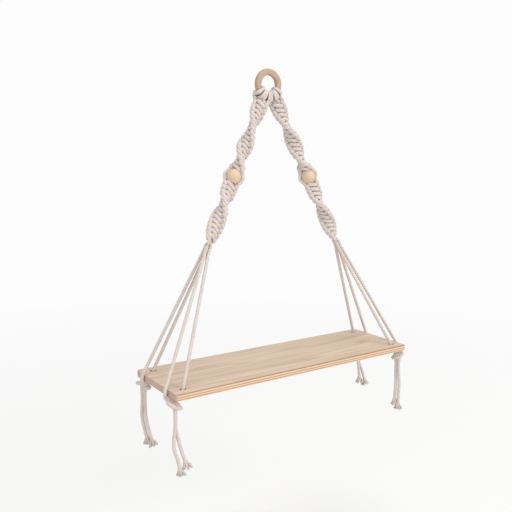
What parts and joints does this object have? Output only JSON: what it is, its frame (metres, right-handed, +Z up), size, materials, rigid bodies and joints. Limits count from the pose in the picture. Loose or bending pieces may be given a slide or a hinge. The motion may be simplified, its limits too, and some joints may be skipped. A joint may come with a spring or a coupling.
{
  "type": "hanging rope shelf",
  "caption": "Small plywood wall shelf hung from a wooden ring by two spiral-knotted cotton rope straps, each with a wooden bead and knotted tails under the corners.",
  "frame": {"origin": "the point inside the top of the ring that rests on the wall hook", "axes": "+Z up, +X along the board to the right as seen from the room, +Y towards the wall, which is the plane y = 0.0185"},
  "size_m": [0.4361, 0.12, 0.5345],
  "materials": {
    "plywood": "satin, with the plies showing at the edges",
    "ring_wood": "satin beech",
    "bead_wood": "satin beech",
    "cotton": "twisted natural cotton rope"
  },
  "bodies": {
    "ring": {"hanging_ring": "ring_wood"},
    "hitches": {"ring_hitch_1": "cotton", "ring_hitch_2": "cotton", "ring_hitch_3": "cotton", "ring_hitch_4": "cotton"},
    "harness": {"left_knotting_cord_1": "cotton", "left_knotting_cord_2": "cotton", "left_core_cord_1": "cotton", "left_core_cord_2": "cotton", "right_knotting_cord_1": "cotton", "right_knotting_cord_2": "cotton", "right_core_cord_1": "cotton", "right_core_cord_2": "cotton", "left_front_hole_cord": "cotton", "left_front_end_cord": "cotton", "left_front_knot": "cotton", "left_front_tail_1": "cotton", "left_front_tail_2": "cotton", "left_back_hole_cord": "cotton", "left_back_end_cord": "cotton", "left_back_knot": "cotton", "left_back_tail_1": "cotton", "left_back_tail_2": "cotton", "right_front_hole_cord": "cotton", "right_front_end_cord": "cotton", "right_front_knot": "cotton", "right_front_tail_1": "cotton", "right_front_tail_2": "cotton", "right_back_hole_cord": "cotton", "right_back_end_cord": "cotton", "right_back_knot": "cotton", "right_back_tail_1": "cotton", "right_back_tail_2": "cotton", "shelf_board": "plywood"},
    "left_bead": {"left_bead": "bead_wood"},
    "right_bead": {"right_bead": "bead_wood"}
  },
  "joints": [
    {"name": "side_sway", "type": "hinge", "parent": "ring", "child": "hitches", "pos_m": [0, 0, -0.0135], "axis": [0, 1, 0], "range_deg": [-12, 12]},
    {"name": "pull_out", "type": "hinge", "parent": "hitches", "child": "harness", "pos_m": [0, -0.0098, -0.043], "axis": [-1, 0, 0], "range_deg": [0, 20]},
    {"name": "left_bead_turn", "type": "hinge", "parent": "harness", "child": "left_bead", "pos_m": [-0.06886, -0.01377, -0.14853], "axis": [-0.4478, -0.0907, -0.8895], "continuous": true},
    {"name": "right_bead_turn", "type": "hinge", "parent": "harness", "child": "right_bead", "pos_m": [0.06886, -0.01377, -0.14853], "axis": [0.4478, -0.0907, -0.8895], "continuous": true}
  ]
}
